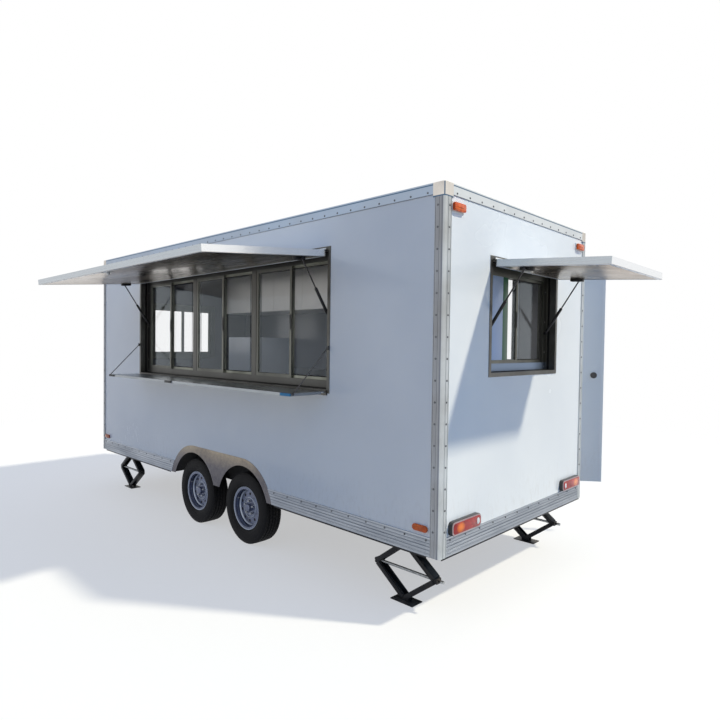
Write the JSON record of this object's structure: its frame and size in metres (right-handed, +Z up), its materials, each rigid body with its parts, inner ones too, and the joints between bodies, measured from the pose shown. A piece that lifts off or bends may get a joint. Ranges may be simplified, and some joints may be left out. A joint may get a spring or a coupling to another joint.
{
  "type": "tandem-axle food trailer",
  "caption": "Box-bodied food trailer on tandem axles with scissor jacks, a long serving flap over sliding windows, a fold-out shelf, a rear flap window and a side door.",
  "frame": {"origin": "centre of the tow ball in the coupling socket", "axes": "+X forward, +Y to the serving side, +Z up"},
  "size_m": [7.0484, 3.5743, 2.7],
  "materials": {
    "tyre": "matte",
    "wheel_steel": "satin",
    "chassis_black": "satin",
    "galvanised": "satin",
    "panel_white": "gloss",
    "aluminium": "satin",
    "checker": "satin",
    "frame_grey": "satin",
    "glass": "clear",
    "flap_sheet": "polished",
    "black_steel": "satin",
    "rod_chrome": "polished",
    "stainless": "brushed",
    "rubber": "matte",
    "lamp_red": "gloss",
    "lamp_amber": "gloss",
    "floor_grey": "matte",
    "furniture": "brushed",
    "appliance": "satin",
    "lock_black": "matte"
  },
  "bodies": {
    "trailer": {"chassis_rails": "chassis_black", "chassis_crossmembers": "chassis_black", "chassis_outriggers": "chassis_black", "drawbar": "galvanised", "coupler": "galvanised", "jockey_stand": "galvanised", "front_axle": "galvanised", "rear_axle": "galvanised", "jack_front_left": "chassis_black", "jack_front_right": "chassis_black", "jack_rear_left": "chassis_black", "jack_rear_right": "chassis_black", "floor_panel": "floor_grey", "left_wall": "panel_white", "right_wall": "panel_white", "front_wall": "panel_white", "rear_wall": "panel_white", "roof_panel": "panel_white", "corner_posts": "aluminium", "corner_caps": "aluminium", "top_rails": "aluminium", "bottom_rails": "aluminium", "wheel_box_left": "checker", "wheel_box_right": "checker", "serving_frame": "frame_grey", "rear_window_frame": "frame_grey", "front_window_frame": "frame_grey", "window_linings": "frame_grey", "strut_mounts": "black_steel", "window_glass": "glass", "door_frame": "aluminium", "tail_lamps": "lamp_red", "marker_lamps": "lamp_amber", "left_counter": "furniture", "right_counter": "furniture", "fridge": "appliance", "overhead_cupboards": "furniture"},
    "side_flap": {"side_flap": "flap_sheet", "side_flap_brackets": "black_steel"},
    "side_strut_tubes": {"side_strut_tubes": "black_steel"},
    "side_strut_rods": {"side_strut_rods": "rod_chrome"},
    "rear_flap": {"rear_flap": "flap_sheet", "rear_flap_brackets": "black_steel"},
    "rear_strut_tubes": {"rear_strut_tubes": "black_steel"},
    "rear_strut_rods": {"rear_strut_rods": "rod_chrome"},
    "counter_shelf": {"counter_shelf": "stainless", "shelf_pads": "rubber"},
    "shelf_stays": {"shelf_stays": "stainless"},
    "door": {"door_leaf": "panel_white", "door_lock": "lock_black"},
    "jockey_fork": {"jockey_fork": "galvanised"},
    "jockey_wheel": {"jockey_wheel": "rubber"},
    "wheel_front_left": {"wheel_front_left": "wheel_steel", "tyre_front_left": "tyre"},
    "wheel_front_right": {"wheel_front_right": "wheel_steel", "tyre_front_right": "tyre"},
    "wheel_rear_left": {"wheel_rear_left": "wheel_steel", "tyre_rear_left": "tyre"},
    "wheel_rear_right": {"wheel_rear_right": "wheel_steel", "tyre_rear_right": "tyre"}
  },
  "joints": [
    {"name": "wheel_rear_left_spin", "type": "hinge", "parent": "trailer", "child": "wheel_rear_left", "pos_m": [-4.185, 0.916, -0.126], "axis": [0, 1, 0], "continuous": true},
    {"name": "wheel_rear_right_spin", "type": "hinge", "parent": "trailer", "child": "wheel_rear_right", "pos_m": [-4.185, -0.916, -0.126], "axis": [0, 1, 0], "continuous": true},
    {"name": "wheel_front_left_spin", "type": "hinge", "parent": "trailer", "child": "wheel_front_left", "pos_m": [-3.385, 0.916, -0.126], "axis": [0, 1, 0], "continuous": true},
    {"name": "wheel_front_right_spin", "type": "hinge", "parent": "trailer", "child": "wheel_front_right", "pos_m": [-3.385, -0.916, -0.126], "axis": [0, 1, 0], "continuous": true},
    {"name": "jockey_swivel", "type": "hinge", "parent": "trailer", "child": "jockey_fork", "pos_m": [-0.587, 0, -0.23], "axis": [0, 0, 1], "continuous": true},
    {"name": "jockey_wheel_spin", "type": "hinge", "parent": "jockey_fork", "child": "jockey_wheel", "pos_m": [-0.629, 0, -0.33], "axis": [0, 1, 0], "continuous": true},
    {"name": "side_flap_hinge", "type": "hinge", "parent": "trailer", "child": "side_flap", "pos_m": [-3.75, 1.043, 1.976], "axis": [-1, 0, 0], "range_deg": [0, 84.6]},
    {"name": "side_strut_lean", "type": "hinge", "parent": "trailer", "child": "side_strut_tubes", "pos_m": [-3.75, 0.974, 1.5], "axis": [1, 0, 0], "range_deg": [0, 33.33]},
    {"name": "side_strut_slide", "type": "slide", "parent": "side_strut_tubes", "child": "side_strut_rods", "axis": [0, 0.5515, 0.8342], "range_m": [-0.18772, 0]},
    {"name": "rear_flap_hinge", "type": "hinge", "parent": "trailer", "child": "rear_flap", "pos_m": [-6.258, 0, 1.876], "axis": [0, -1, 0], "range_deg": [0, 86]},
    {"name": "rear_strut_lean", "type": "hinge", "parent": "trailer", "child": "rear_strut_tubes", "pos_m": [-6.189, 0, 1.4], "axis": [0, 1, 0], "range_deg": [0, 33.23]},
    {"name": "rear_strut_slide", "type": "slide", "parent": "rear_strut_tubes", "child": "rear_strut_rods", "axis": [-0.55, 0, 0.8352], "range_m": [-0.19273, 0]},
    {"name": "shelf_fold", "type": "hinge", "parent": "trailer", "child": "counter_shelf", "pos_m": [-3.75, 1.063, 0.948], "axis": [-1, 0, 0], "range_deg": [0, 90]},
    {"name": "shelf_stay_swing", "type": "hinge", "parent": "trailer", "child": "shelf_stays", "pos_m": [-3.75, 1.043, 1.266], "axis": [-1, 0, 0], "range_deg": [0, 44.54]},
    {"name": "door_hinge", "type": "hinge", "parent": "trailer", "child": "door", "pos_m": [-5.65, -1.044, 1.004], "axis": [0, 0, 1], "range_deg": [-25, 143]}
  ],
  "couplings": [
    {"joint": "side_strut_lean", "follows": "side_flap_hinge", "ratio": 0.39319},
    {"joint": "side_strut_slide", "follows": "side_flap_hinge", "m_per_rad": -0.12688},
    {"joint": "rear_strut_lean", "follows": "rear_flap_hinge", "ratio": 0.38559},
    {"joint": "rear_strut_slide", "follows": "rear_flap_hinge", "m_per_rad": -0.12815},
    {"joint": "shelf_stay_swing", "follows": "shelf_fold", "ratio": 0.49394}
  ]
}
